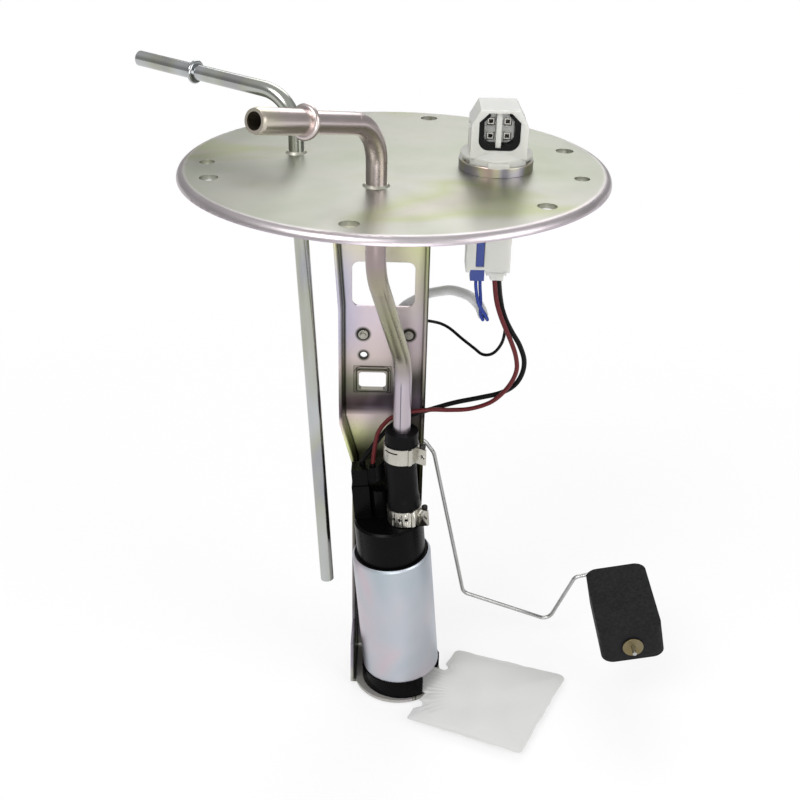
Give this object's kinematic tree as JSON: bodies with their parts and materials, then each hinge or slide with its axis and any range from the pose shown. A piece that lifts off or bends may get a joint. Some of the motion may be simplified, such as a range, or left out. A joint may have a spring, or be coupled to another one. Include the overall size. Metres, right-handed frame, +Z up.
{
  "type": "fuel pump module",
  "caption": "Round flanged in-tank fuel pump module with two fuel tubes, wiring socket, pressed hanger, electric pump, strainer sock and swinging float level sender.",
  "frame": {"origin": "centre of the flange's seat face, the underside ring that lies on the tank", "axes": "+Z up, out of the tank, along the bolts; -Y the way the wiring socket opens; +X toward the float"},
  "size_m": [0.2471, 0.17, 0.3139],
  "materials": {
    "flange_zinc": "satin yellow-green passivated zinc",
    "supply_steel": "satin plated steel tube",
    "return_steel": "bright plated steel tube",
    "braze": "brazed fillet",
    "ring_zinc": "iridescent passivated zinc",
    "black_rubber": "black rubber",
    "natural_nylon": "translucent white nylon",
    "contact_tin": "tinned brass",
    "blue_plastic": "blue moulded plastic",
    "hanger_zinc": "yellow passivated zinc",
    "sender_steel": "plated steel",
    "sender_plastic": "ivory moulded plastic",
    "ceramic_card": "printed ceramic card",
    "brass": "brass",
    "hose_rubber": "black hose rubber",
    "clamp_steel": "stainless band",
    "black_steel": "black rolled pin",
    "can_zinc": "matte plated steel can",
    "black_plastic": "black moulded plastic",
    "carbon": "carbon",
    "bearing_bronze": "sintered bronze",
    "magnet": "ferrite",
    "cast_alloy": "die-cast alloy",
    "bright_steel": "bright steel wire and shaft",
    "valve_plastic": "grey moulded plastic",
    "copper": "copper",
    "impeller_plastic": "phenolic",
    "sock_fabric": "fine nylon filter cloth",
    "float_foam": "charcoal closed-cell rubber foam",
    "wire_black": "black insulation",
    "wire_red": "dark red insulation",
    "wire_blue": "blue insulation",
    "sleeve_grey": "translucent grey sleeve"
  },
  "bodies": {
    "module": {"flange_plate": "flange_zinc", "supply_tube": "supply_steel", "return_tube": "return_steel", "braze_rings": "braze", "connector_ring": "ring_zinc", "ring_gasket": "black_rubber", "connector_housing": "natural_nylon", "socket_seal": "black_rubber", "terminal_blades": "contact_tin", "inner_plug": "natural_nylon", "plug_retainer": "blue_plastic", "hanger_bracket": "hanger_zinc", "sender_bracket": "sender_steel", "sender_rivets": "sender_steel", "sender_housing": "sender_plastic", "resistor_card": "ceramic_card", "card_terminals": "brass", "earth_lug": "brass", "outlet_hose": "hose_rubber", "upper_clamp": "clamp_steel", "lower_clamp": "clamp_steel", "clamp_pins": "black_steel", "pump_can": "can_zinc", "pump_cap": "black_plastic", "cap_seal": "black_rubber", "pump_plug": "black_plastic", "brushes": "carbon", "upper_bearing": "bearing_bronze", "lower_bearing": "bearing_bronze", "field_magnets": "magnet", "outlet_plate": "cast_alloy", "inlet_cover": "cast_alloy", "check_spring": "bright_steel", "rubber_cushion": "black_rubber", "strainer_collar": "black_plastic", "strainer_sock": "sock_fabric", "black_wire": "wire_black", "red_wire": "wire_red", "earth_wire": "wire_black", "sender_wire_a": "wire_blue", "sender_wire_b": "wire_blue", "wire_sleeve": "sleeve_grey"},
    "float_lever": {"arm_hub": "black_plastic", "wiper": "brass", "float_arm": "bright_steel", "push_nut": "brass"},
    "float": {"float_block": "float_foam"},
    "rotor": {"rotor_shaft": "bright_steel", "armature": "copper", "commutator": "copper", "impeller": "impeller_plastic"},
    "valve": {"check_valve": "valve_plastic"}
  },
  "joints": [
    {"name": "float_arm_swing", "type": "hinge", "parent": "module", "child": "float_lever", "pos_m": [-0.003, 0.048, -0.136], "axis": [0, -1, 0], "range_deg": [0, 75]},
    {"name": "float_swivel", "type": "hinge", "parent": "float_lever", "child": "float", "pos_m": [0.119, 0.0195, -0.23], "axis": [0, -1, 0], "continuous": true},
    {"name": "rotor_spin", "type": "hinge", "parent": "module", "child": "rotor", "pos_m": [0.0075, 0.014, -0.2596], "axis": [-0.0872, 0, 0.9962], "continuous": true},
    {"name": "check_valve_lift", "type": "slide", "parent": "module", "child": "valve", "axis": [-0.0872, 0, 0.9962], "range_m": [0, 0.0012], "stiffness_N_per_m": 60, "springref_m": -0.003, "deforming": ["check_spring"]}
  ]
}
